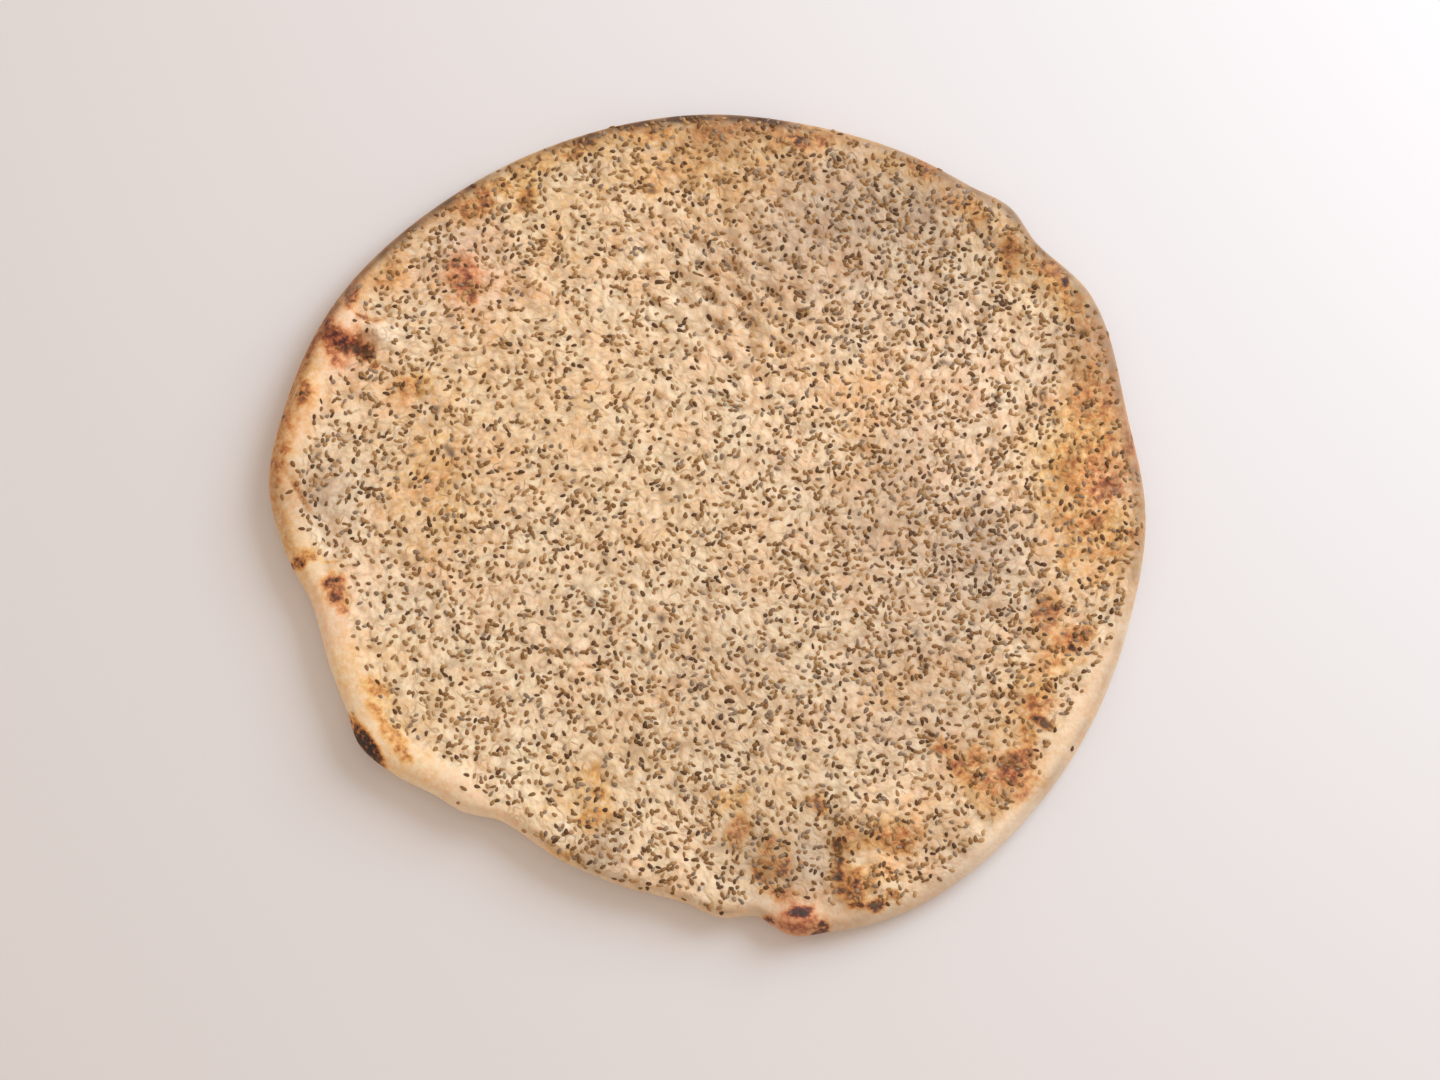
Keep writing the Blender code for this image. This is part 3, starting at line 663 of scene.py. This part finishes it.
def browning(x, y):
    """How far each point of the crust is baked, from 0 for pale dough to 1 for char."""
    bearing, inset = bearing_and_inset(x, y)
    wx, wy = wandered(x, y)
    wx, wy = wx * 1000, wy * 1000
    golden = around(bearing, RIM_GOLD) * bell(inset / RIM_GOLD_WIDTH)
    for *place, gold in GOLD_FIELDS:
        golden += gold * bell(oval(wx, wy, *place))
    baked = np.maximum(marks(wx, wy, BAKE_AND_SHADE_MARKS), golden)
    return baked * (1 - marks(wx, wy, PALE_AND_LIT_MARKS))


def toast(x, y):
    """The share of dark toast: along the edge and in the flecks."""
    bearing, inset = bearing_and_inset(x, y)
    line = around(bearing, EDGE_TOAST) * bell((inset - EDGE_TOAST_INSET) / EDGE_TOAST_WIDTH)
    line *= 1 + TOAST_UNEVENNESS * speckle(x, y, TOAST_BREAK_SIZE, TOAST_DRAW)
    line = np.clip(line, 0.0, MOST_TOAST)
    wx, wy = wandered(x, y)
    for at_x, at_y in DARK_FLECKS:
        distance = np.hypot(wx * 1000 - at_x, wy * 1000 - at_y) / FLECK_RADIUS
        line = np.maximum(line, FLECK_TOAST * bell(distance**FLECK_SHARPNESS))
    return line


def shade_and_dust(x, y):
    """How far the crust is greyed: on parts of the rim as painted shade, and where crushed seeds lie as
    dust.
    """
    bearing, inset = bearing_and_inset(x, y)
    shade = around(bearing, RIM_SHADE) * bell(inset / RIM_SHADE_WIDTH)
    return np.clip(shade + fields(x, y, DUST_FIELDS), 0.0, MOST_SHADE_AND_DUST)


def add_value(mesh, name, values):
    """Stores one number for each point of the mesh, for its material to read."""
    layer = mesh.attributes.new(name, "FLOAT", "POINT")
    layer.data.foreach_set("value", np.asarray(values, np.float32))


def make_crust():
    """The crust as one piece, with all that its material reads from its points."""
    mesh, x, y, on_top = crust_mesh()
    _, inset = bearing_and_inset(x, y)
    upper = np.where(on_top, 1.0, np.clip(1 - inset / BAKE_UNDER_REACH, 0, 1))
    under = np.clip((inset - UNDERSIDE_START) / UNDERSIDE_FADE, 0, 1)
    add_value(mesh, "browning", upper * browning(x, y))
    add_value(mesh, "redness", fields(x, y, RED_FIELDS))
    add_value(mesh, "crease", np.where(on_top, creases(x, y), 0.0))
    add_value(mesh, "seeded", np.where(on_top, seeded(x, y), 0.0))
    add_value(mesh, "shade_and_dust", upper * shade_and_dust(x, y))
    add_value(mesh, "toast", upper * toast(x, y))
    add_value(mesh, "pale", marks(x * 1000, y * 1000, PALE_AND_LIT_MARKS))
    add_value(mesh, "underside", np.where(on_top, 0.0, under))
    crust = bpy.data.objects.new("crust", mesh)
    bpy.context.scene.collection.objects.link(crust)
    return crust


# ======== seeds


def seed_share(x, y):
    """How thickly the seeds lie at each point, against the mean."""
    share = 1 + fields(x, y, SEED_DRIFTS)
    for step, (size, depth) in enumerate(SEED_CLUMPS):
        share *= 1 + depth * speckle(x, y, size, SEED_CLUMP_DRAW * (step + 1))
    share *= CREASE_PULL[0] + CREASE_PULL[1] * creases(x, y)
    at_x, at_y, reach = FINGER_ROWS[0][:3]
    rows = bell(np.hypot(x - at_x, y - at_y) / reach)
    share *= 1 - rows + rows * (FURROW_PULL[0] + FURROW_PULL[1] * furrows(x, y)[1])
    for place in BARE_SPOTS:
        share *= 1 - np.minimum(BARE_SPOT_FULLNESS * field(x, y, *place), 1.0)
    bearing, inset = bearing_and_inset(x, y)
    fade = (inset - around(bearing, BARE_RIM)) / SEED_FADE + 0.5
    return share * np.clip(fade, STRAY_SHARE, 1)


def scatter():
    """Places for the seeds: random, no closer than the spacing, as thick as seed_share says."""
    draw = np.random.default_rng(SEED_DRAW)
    tries = int(SEED_DENSITY * (2 * SCATTER_REACH) ** 2 * THICKEST_SHARE)
    x = draw.uniform(-SCATTER_REACH, SCATTER_REACH, tries)
    y = draw.uniform(-SCATTER_REACH, SCATTER_REACH, tries)
    chance = draw.uniform(0, THICKEST_SHARE, tries)
    inside = bearing_and_inset(x, y)[1] > SEED_EDGE_GAP
    x, y, chance = x[inside], y[inside], chance[inside]
    keep = seed_share(x, y) > chance
    taken = {}
    placed = []
    for a, b in zip(x[keep], y[keep]):
        cell = (int(a // SEED_SPACING), int(b // SEED_SPACING))
        near = (
            other
            for i in (-1, 0, 1)
            for j in (-1, 0, 1)
            for other in taken.get((cell[0] + i, cell[1] + j), ())
        )
        if all((a - p) ** 2 + (b - q) ** 2 > SEED_SPACING**2 for p, q in near):
            taken.setdefault(cell, []).append((a, b))
            placed.append((a, b))
    return placed


def seed_form():
    """Points and faces of one egg-shaped seed one unit long, thicker at one end."""
    points = [(0.0, 0.0, 0.5)]
    for tier, (height, width) in enumerate(SEED_RINGS):
        for side in range(SEED_SIDES):
            bearing = 2 * math.pi * (side + 0.5 * tier) / SEED_SIDES
            x = 0.5 * width * math.cos(bearing)
            y = 0.5 * width * math.sin(bearing) * (1 - 2 * SEED_TAPER * x)
            points.append((x, y, 0.5 * height))
    points.append((0.0, 0.0, -0.5))
    faces = []
    for side in range(SEED_SIDES):
        after = (side + 1) % SEED_SIDES
        upper, lower = 1 + side, 1 + SEED_SIDES + side
        next_upper, next_lower = 1 + after, 1 + SEED_SIDES + after
        faces.append((0, upper, next_upper))
        faces.append((upper, lower, next_upper))
        faces.append((next_upper, lower, next_lower))
        faces.append((len(points) - 1, next_lower, lower))
    return np.array(points), faces


def coolness(x, y):
    """1 where slate seeds prevail, falling to 0 elsewhere."""
    return max(field(x, y, *place) for place in COOL_FIELDS)


def seed_piece(name, points, faces, shades):
    """All the seeds of one kind, joined."""
    mesh = bpy.data.meshes.new(name)
    mesh.from_pydata([tuple(p) for p in points], [], faces)
    mesh.shade_smooth()
    add_value(mesh, "shade", shades)
    piece = bpy.data.objects.new(name, mesh)
    bpy.context.scene.collection.objects.link(piece)
    return piece


def make_seeds(crust):
    """The seeds, set into the crust with their own sizes and turns, one piece for each kind."""
    tree = BVHTree.FromPolygons(
        [vertex.co for vertex in crust.data.vertices],
        [tuple(face.vertices) for face in crust.data.polygons],
    )
    draw = random.Random(SEED_DRAW)
    form, form_faces = seed_form()
    gathered = {name: ([], [], []) for name, _, _ in SEED_KINDS}
    places = scatter()
    depths = furrows(*np.array(places).T)[1]
    row_bearing = math.radians(FINGER_ROWS[0][4])
    for (x, y), furrow in zip(places, depths):
        spot, normal, _, _ = tree.ray_cast(Vector((x, y, DROP_HEIGHT)), Vector((0, 0, -1)))
        if spot is None:
            continue
        cool = coolness(x, y)
        shares = [warm + (cold - warm) * cool for _, warm, cold in SEED_KINDS]
        in_furrow = float(furrow) > IN_FURROW
        if in_furrow:
            shares[0] *= BLACK_IN_FURROW
        name = draw.choices([kind[0] for kind in SEED_KINDS], shares)[0]
        size = [length * (1 + draw.uniform(-1, 1) * SEED_SPREAD) for length in SEED_SIZE]
        lean = Vector((draw.gauss(0, SEED_TILT), draw.gauss(0, SEED_TILT), 0))
        stand = (normal + lean).normalized().to_track_quat("Z", "Y").to_matrix()
        lie = draw.uniform(0, 2 * math.pi)
        if in_furrow:
            lie = row_bearing + draw.gauss(0, FURROW_LIE_SPREAD)
        turn = stand @ Matrix.Rotation(lie, 3, "Z")
        centre = spot + normal * size[2] * draw.uniform(*SEED_STAND)
        points, faces, shades = gathered[name]
        first = len(points)
        points.extend((form * size) @ np.array(turn).T + np.array(centre))
        faces.extend(tuple(first + i for i in face) for face in form_faces)
        shades.extend([draw.random()] * len(form))
    return [seed_piece(name, *parts) for name, parts in gathered.items()]


# ======== materials


def srgb(red, green, blue):
    """A screen colour of 0 to 255 as the linear colour that a shader takes."""

    def linear(part):
        part /= 255
        return part / 12.92 if part <= 0.04045 else ((part + 0.055) / 1.055) ** 2.4

    return (linear(red), linear(green), linear(blue), 1.0)


class Nodes:
    """A short way to write a node tree."""

    def __init__(self, name):
        self.material = bpy.data.materials.new(name)
        self.material.use_nodes = True
        self.tree = self.material.node_tree
        self.shader = self.tree.nodes["Principled BSDF"]

    def join(self, value, socket):
        """Links a node's output to the socket, or sets a plain value."""
        if isinstance(value, bpy.types.NodeSocket):
            self.tree.links.new(value, socket)
        else:
            socket.default_value = value

    def attribute(self, name):
        """A number that the mesh holds for each of its points."""
        node = self.tree.nodes.new("ShaderNodeAttribute")
        node.attribute_name = name
        return node.outputs["Fac"]

    def place(self):
        """Where each point of the object is, in metres."""
        return self.tree.nodes.new("ShaderNodeTexCoord").outputs["Object"]

    def noise(self, place, size, detail=3.0, roughness=0.55, shift=0.0):
        """Noise with features of this size in metres, from 0 to 1."""
        moved = self.tree.nodes.new("ShaderNodeMapping")
        moved.inputs["Location"].default_value = (shift, shift, shift)
        self.tree.links.new(place, moved.inputs["Vector"])
        node = self.tree.nodes.new("ShaderNodeTexNoise")
        node.inputs["Scale"].default_value = 1 / size
        node.inputs["Detail"].default_value = detail
        node.inputs["Roughness"].default_value = roughness
        self.tree.links.new(moved.outputs["Vector"], node.inputs["Vector"])
        return node.outputs["Fac"]

    def cells(self, place, size):
        """Distance from the middle of the nearest cell, for cells of this size in metres."""
        node = self.tree.nodes.new("ShaderNodeTexVoronoi")
        node.inputs["Scale"].default_value = 1 / size
        self.tree.links.new(place, node.inputs["Vector"])
        return node.outputs["Distance"]

    def math(self, kind, *values, clamp=False):
        """One step of arithmetic."""
        node = self.tree.nodes.new("ShaderNodeMath")
        node.operation = kind
        node.use_clamp = clamp
        for value, socket in zip(values, node.inputs):
            self.join(value, socket)
        return node.outputs["Value"]

    def spread(self, value, low, high, to_low=0.0, to_high=1.0):
        """The value's range from low to high, drawn out to another range."""
        node = self.tree.nodes.new("ShaderNodeMapRange")
        for part, socket in zip((value, low, high, to_low, to_high), node.inputs):
            self.join(part, socket)
        return node.outputs["Result"]

    def ramp(self, value, stops):
        """The colour for this value, between stops of (value, colour)."""
        node = self.tree.nodes.new("ShaderNodeValToRGB")
        bar = node.color_ramp
        while len(bar.elements) < len(stops):
            bar.elements.new(0.5)
        for element, (at, colour) in zip(bar.elements, stops):
            element.position = at
            element.color = colour
        self.join(value, node.inputs["Fac"])
        return node.outputs["Color"]

    def mix(self, share, first, second):
        """The first colour, with this share of the second."""
        node = self.tree.nodes.new("ShaderNodeMix")
        node.data_type = "RGBA"
        self.join(share, node.inputs["Factor"])
        self.join(first, node.inputs["A"])
        self.join(second, node.inputs["B"])
        return node.outputs["Result"]

    def bump(self, height, distance, under=None):
        """Fine relief this high in metres, on top of the relief under it."""
        node = self.tree.nodes.new("ShaderNodeBump")
        node.inputs["Distance"].default_value = distance
        node.inputs["Strength"].default_value = 1.0
        self.join(height, node.inputs["Height"])
        if under is not None:
            self.join(under, node.inputs["Normal"])
        return node.outputs["Normal"]


# The crust's colours by how browned it is, where it leans to yellow and where to red.
YELLOW_BAKE = (
    (0.00, srgb(247, 224, 189)),
    (0.14, srgb(244, 210, 166)),
    (0.28, srgb(238, 194, 130)),
    (0.45, srgb(221, 159, 88)),
    (0.62, srgb(180, 115, 60)),
    (0.80, srgb(116, 68, 36)),
    (1.00, srgb(48, 28, 18)),
)
RED_BAKE = (
    (0.00, srgb(248, 217, 191)),
    (0.14, srgb(245, 203, 168)),
    (0.28, srgb(240, 183, 136)),
    (0.45, srgb(220, 145, 94)),
    (0.62, srgb(176, 99, 63)),
    (0.80, srgb(118, 54, 38)),
    (1.00, srgb(50, 23, 18)),
)
UNDERSIDE_BAKE = (
    (0.30, srgb(238, 214, 178)),
    (0.50, srgb(226, 190, 142)),
    (0.60, srgb(186, 132, 82)),
    (0.72, srgb(104, 64, 38)),
)
TOAST = srgb(80, 52, 37)
# Grey for the rim's painted shade and for the dust of crushed seeds.
SHADE_AND_DUST_CRUST = srgb(148, 120, 104)
FLOURED_CRUST = srgb(242, 226, 202)
# Darker crust along the worms for sunk seeds, and in the creases as painted shade.
SEED_WORM_AND_SHADE_CRUST = srgb(150, 112, 68)
# How browned the palest crust is, and the most that each colour over it covers.
LEAST_BROWNED = 0.04
FLOUR_SHARE = 0.35
PALE_SHARE = 0.7
SEED_WORM_AND_SHADE_SHARE = 0.48
# Sizes of the crust's patterns in metres, and a worm's width as a share of its pattern.
GRAIN_SIZE = 0.0011
SPECK_SIZE = 0.0024
MOTTLE_SIZE = 0.0110
DRIFT_SIZE = 0.0600
FLOUR_SIZE = 0.0220
PATCH_SIZE = 0.0160
PIT_SIZE = 0.0021
WORM_SIZE = 0.0052
WORM_GAP_SIZE = 0.0050
WORM_WIDTH = 0.065
# Heights of the specks, the grain, the pits and the sunk creases.
ROUGHNESS_HEIGHTS = (0.00034, 0.00012, 0.00010, -0.00022)
# The fine net on a seed: size, height and how much it shows.
NET_SIZE = 0.00022
NET_HEIGHT = 0.00003
NET_SHARE = 0.35


def crease_lines(n, place):
    """1 along thin dark worms and in the creases, weaker on the bare rim."""
    wave = n.noise(place, WORM_SIZE, detail=1.0, shift=5.0)
    lines = n.spread(n.math("ABSOLUTE", n.math("SUBTRACT", wave, 0.5)), 0.0, WORM_WIDTH, 1.0, 0.0)
    gaps = n.spread(n.noise(place, WORM_GAP_SIZE, detail=1.0, shift=6.0), 0.40, 0.60)
    deep = n.math("POWER", n.attribute("crease"), 1.6)
    lines = n.math("MAXIMUM", n.math("MULTIPLY", lines, gaps), deep)
    return n.math("MULTIPLY", lines, n.spread(n.attribute("seeded"), 0.0, 1.0, 0.12, 1.0))


def crust_colour(n, place, grain, speck, lines):
    """Browned as the mesh says and as noise breaks it up, then flour, darker worms and creases (partly
    painted shade), the rim's painted shade with seed dust, and toast.
    """
    mottle = n.noise(place, MOTTLE_SIZE, detail=4.0, roughness=0.6, shift=0.7)
    drift = n.noise(place, DRIFT_SIZE, detail=2.0, shift=1.1)
    baked = n.math("MULTIPLY", n.attribute("browning"), n.spread(speck, 0.30, 0.70, 0.55, 1.35))
    layers = ((speck, -0.07, 0.09), (grain, -0.03, 0.04), (mottle, -0.09, 0.10), (drift, -0.05, 0.05))
    for layer, less, more in layers:
        baked = n.math("ADD", baked, n.spread(layer, 0.30, 0.70, less, more))
    baked = n.math("ADD", baked, LEAST_BROWNED, clamp=True)
    lean = n.math("ADD", n.attribute("redness"), n.spread(mottle, 0.40, 0.70, 0.1, 0.6), clamp=True)
    colour = n.mix(lean, n.ramp(baked, YELLOW_BAKE), n.ramp(baked, RED_BAKE))
    flour = n.noise(place, FLOUR_SIZE, detail=5.0, roughness=0.7, shift=2.0)
    flour = n.spread(flour, 0.56, 0.72, 0.0, FLOUR_SHARE)
    # Pale marks, two of them painted light, turn the crust towards the floured colour.
    flour = n.math("MAXIMUM", flour, n.math("MULTIPLY", n.attribute("pale"), PALE_SHARE))
    colour = n.mix(flour, colour, FLOURED_CRUST)
    # Darker along the worms for sunk seeds, and in the creases as painted shade.
    colour = n.mix(n.math("MULTIPLY", lines, SEED_WORM_AND_SHADE_SHARE), colour, SEED_WORM_AND_SHADE_CRUST)
    # The rim's painted shade and the seed dust, weaker where the crust is browned.
    shade_and_dust = n.math("MULTIPLY", n.attribute("shade_and_dust"), n.spread(baked, 0.30, 0.60, 1.0, 0.35))
    colour = n.mix(shade_and_dust, colour, SHADE_AND_DUST_CRUST)
    colour = n.mix(n.attribute("toast"), colour, TOAST)
    patches = n.noise(place, PATCH_SIZE, detail=5.0, roughness=0.62, shift=3.0)
    return n.mix(n.attribute("underside"), colour, n.ramp(patches, UNDERSIDE_BAKE))


def crust_material():
    """Baked crust: pale crumb through gold and brown to char, mottled and finely pitted."""
    n = Nodes("baked_crust")
    place = n.place()
    grain = n.noise(place, GRAIN_SIZE, detail=2.0)
    speck = n.noise(place, SPECK_SIZE, detail=3.0, roughness=0.6, shift=0.3)
    lines = crease_lines(n, place)
    n.join(crust_colour(n, place, grain, speck, lines), n.shader.inputs["Base Color"])
    n.shader.inputs["Roughness"].default_value = 0.72
    n.shader.inputs["Subsurface Weight"].default_value = 0.3
    n.shader.inputs["Subsurface Radius"].default_value = (1.0, 0.5, 0.24)
    n.shader.inputs["Subsurface Scale"].default_value = 0.0024
    specks = n.math("MULTIPLY", speck, n.spread(n.attribute("seeded"), 0.0, 1.0, 0.3, 1.0))
    pits = n.spread(n.cells(place, PIT_SIZE), 0.0, 0.6)
    rough = None
    for layer, height in zip((specks, grain, pits, lines), ROUGHNESS_HEIGHTS):
        rough = n.bump(layer, height, under=rough)
    n.join(rough, n.shader.inputs["Normal"])
    return n.material


def seed_material(name, dark, light, roughness):
    """A dull dark seed coat: each seed has its own shade, finely netted."""
    n = Nodes(name)
    colour = n.mix(n.attribute("shade"), dark, light)
    net = n.spread(n.cells(n.place(), NET_SIZE), 0.1, 0.6)
    colour = n.mix(n.math("MULTIPLY", net, NET_SHARE), colour, light)
    n.join(colour, n.shader.inputs["Base Color"])
    n.shader.inputs["Roughness"].default_value = roughness
    n.shader.inputs["Specular IOR Level"].default_value = 0.2
    n.join(n.bump(net, NET_HEIGHT), n.shader.inputs["Normal"])
    return n.material


# Kind: (darkest shade, lightest shade, roughness).
SEED_COATS = {
    "seeds_black": (srgb(76, 50, 30), srgb(112, 79, 50), 0.56),
    "seeds_umber": (srgb(114, 80, 46), srgb(156, 114, 70), 0.6),
    "seeds_brown": (srgb(148, 108, 66), srgb(190, 148, 100), 0.64),
    "seeds_slate": (srgb(118, 96, 77), srgb(162, 137, 112), 0.66),
}

# ======== stage

FLOOR_COLOUR = srgb(227, 224, 224)
FLOOR_ROUGHNESS = 0.55
# How far the floor reaches, and how far it lies under the bread.
FLOOR_REACH = 3.0
FLOOR_DROP = 0.0002
# Soft warm light from all round.
WORLD_COLOUR = (1.0, 0.84, 0.71, 1.0)
WORLD_STRENGTH = 0.7
# A cooler lamp from the upper right: bearing and height in degrees, metres and watts.
KEY_BEARING = 36.0
KEY_HEIGHT = 36.0
KEY_DISTANCE = 1.2
KEY_SIZE = 0.8
KEY_POWER = 11.0
KEY_COLOUR = (0.86, 1.01, 1.17)

# Lens and sensor in millimetres, and how wide the picture is at the bread, in metres.
LENS = 85.0
SENSOR = 36.0
FRAME_WIDTH = 0.4929
CAMERA_BEARING = -90.0
CAMERA_ELEVATION = 80.0
CAMERA_AIM = (0.0043, -0.0080, 0.004)


def towards(bearing, elevation):
    """The unit vector at this bearing from +X and this elevation, in degrees."""
    b, e = math.radians(bearing), math.radians(elevation)
    return Vector((math.cos(e) * math.cos(b), math.cos(e) * math.sin(b), math.sin(e)))


def make_floor():
    """A pale floor just under the bread."""
    mesh = bpy.data.meshes.new("floor")
    signs = ((-1, -1), (1, -1), (1, 1), (-1, 1))
    corners = [(i * FLOOR_REACH, j * FLOOR_REACH, -FLOOR_DROP) for i, j in signs]
    mesh.from_pydata(corners, [], [(0, 1, 2, 3)])
    n = Nodes("pale_floor")
    n.shader.inputs["Base Color"].default_value = FLOOR_COLOUR
    n.shader.inputs["Roughness"].default_value = FLOOR_ROUGHNESS
    mesh.materials.append(n.material)
    floor = bpy.data.objects.new("floor", mesh)
    bpy.context.scene.collection.objects.link(floor)


def make_light():
    """The room's soft light and one broad lamp."""
    world = bpy.data.worlds.new("soft_room")
    world.use_nodes = True
    background = world.node_tree.nodes["Background"]
    background.inputs["Color"].default_value = WORLD_COLOUR
    background.inputs["Strength"].default_value = WORLD_STRENGTH
    bpy.context.scene.world = world
    lamp = bpy.data.lights.new("key", "AREA")
    lamp.size = KEY_SIZE
    lamp.energy = KEY_POWER
    lamp.color = KEY_COLOUR
    key = bpy.data.objects.new("key", lamp)
    aim = towards(KEY_BEARING, KEY_HEIGHT)
    key.location = aim * KEY_DISTANCE
    key.rotation_euler = aim.to_track_quat("Z", "Y").to_euler()
    bpy.context.scene.collection.objects.link(key)


def make_camera():
    """A camera in front of the bread, high above it and looking down."""
    lens = bpy.data.cameras.new("camera")
    lens.lens = LENS
    lens.sensor_width = SENSOR
    camera = bpy.data.objects.new("camera", lens)
    back = towards(CAMERA_BEARING, CAMERA_ELEVATION)
    camera.location = Vector(CAMERA_AIM) + back * (FRAME_WIDTH / SENSOR * LENS)
    camera.rotation_euler = back.to_track_quat("Z", "Y").to_euler()
    bpy.context.scene.collection.objects.link(camera)
    bpy.context.scene.camera = camera


# ======== scene


def main():
    """The whole scene: camera, light, floor, crust and seeds."""
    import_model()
    make_camera()
    make_light()
    make_floor()
    bpy.context.scene.view_settings.view_transform = "Standard"
    crust = make_crust()
    crust.data.materials.append(crust_material())
    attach(crust, "root")
    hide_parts("bread")
    for seeds in make_seeds(crust):
        seeds.data.materials.append(seed_material(f"{seeds.name}_coat", *SEED_COATS[seeds.name]))
        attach(seeds, "root")


main()
